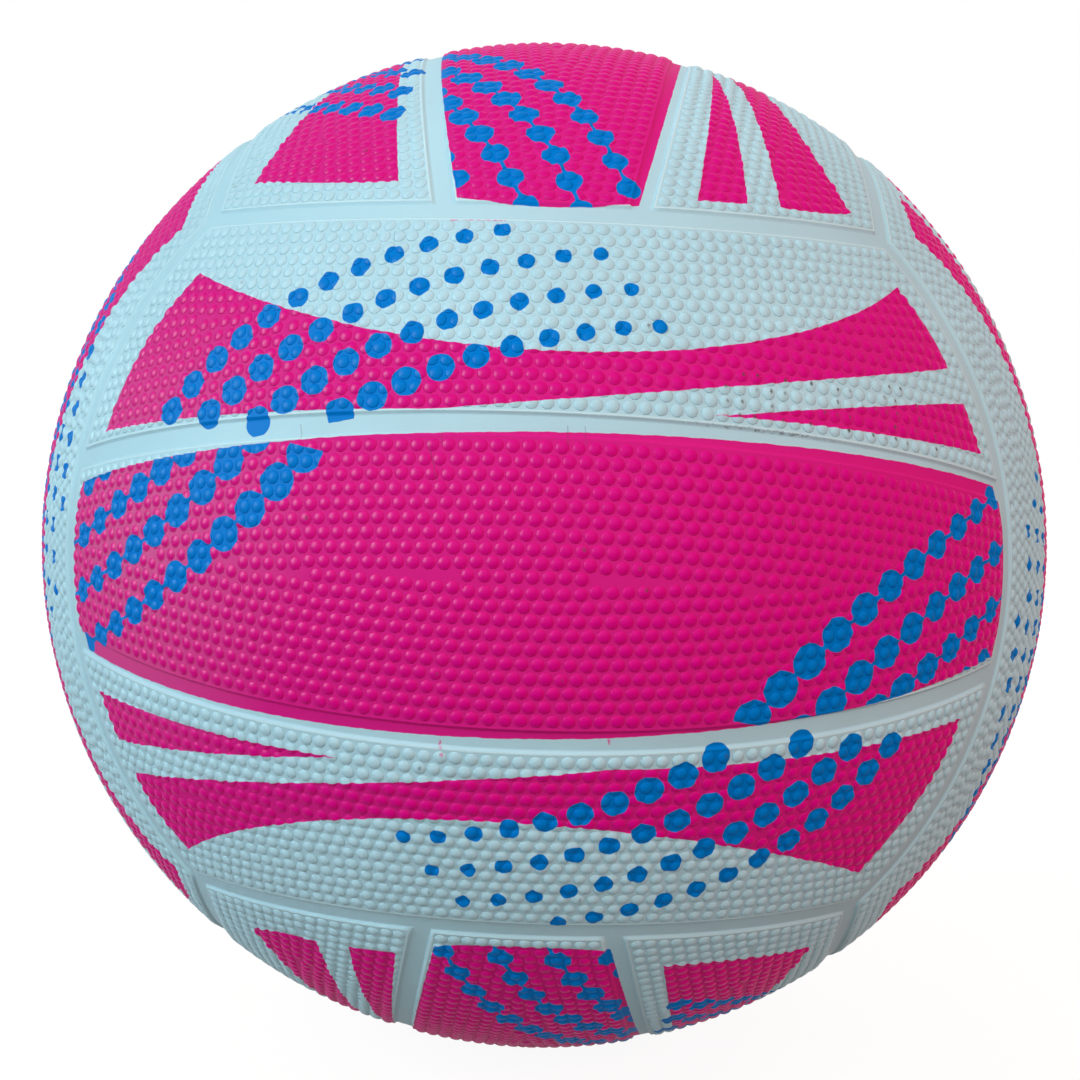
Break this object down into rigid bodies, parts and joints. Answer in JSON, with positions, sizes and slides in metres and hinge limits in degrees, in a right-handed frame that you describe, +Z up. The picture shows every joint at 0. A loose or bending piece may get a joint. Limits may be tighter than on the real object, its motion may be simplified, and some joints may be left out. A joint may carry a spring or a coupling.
{
  "type": "netball",
  "caption": "Moulded rubber netball with pebbled strip panels over smooth channels, a wound carcass, an inner bladder and a needle valve.",
  "frame": {"origin": "centre of the ball", "axes": "+Z up, -Y towards the viewer, so the front group's strips run along X; +Y along the valve, out of the ball"},
  "size_m": [0.223, 0.2228, 0.223],
  "materials": {
    "pale_cover_rubber": "pebbled, soft sheen, pale mint with printed pink bands and blue dots",
    "pink_cover_rubber": "pebbled, soft sheen, pink with printed blue dots",
    "channel_rubber": "smooth, soft sheen",
    "winding_thread": "wound nylon thread",
    "bladder_rubber": "smooth butyl",
    "patch_rubber": "matte butyl",
    "valve_rubber": "smooth moulded rubber",
    "plug_rubber": "smooth moulded rubber"
  },
  "bodies": {
    "root": {"front_upper_panel": "pale_cover_rubber", "front_middle_panel": "pink_cover_rubber", "front_lower_panel": "pale_cover_rubber", "back_upper_panel": "pale_cover_rubber", "back_middle_panel": "pink_cover_rubber", "back_lower_panel": "pale_cover_rubber", "top_left_panel": "pale_cover_rubber", "top_middle_panel": "pink_cover_rubber", "top_right_panel": "pale_cover_rubber", "bottom_left_panel": "pale_cover_rubber", "bottom_middle_panel": "pink_cover_rubber", "bottom_right_panel": "pale_cover_rubber", "left_front_panel": "pale_cover_rubber", "left_middle_panel": "pink_cover_rubber", "left_back_panel": "pale_cover_rubber", "right_front_panel": "pale_cover_rubber", "right_middle_panel": "pink_cover_rubber", "right_back_panel": "pale_cover_rubber", "carcass_skin": "channel_rubber", "thread_winding": "winding_thread", "bladder": "bladder_rubber", "valve_patch": "patch_rubber", "valve_boot": "valve_rubber", "valve_plug": "plug_rubber"}
  },
  "joints": []
}
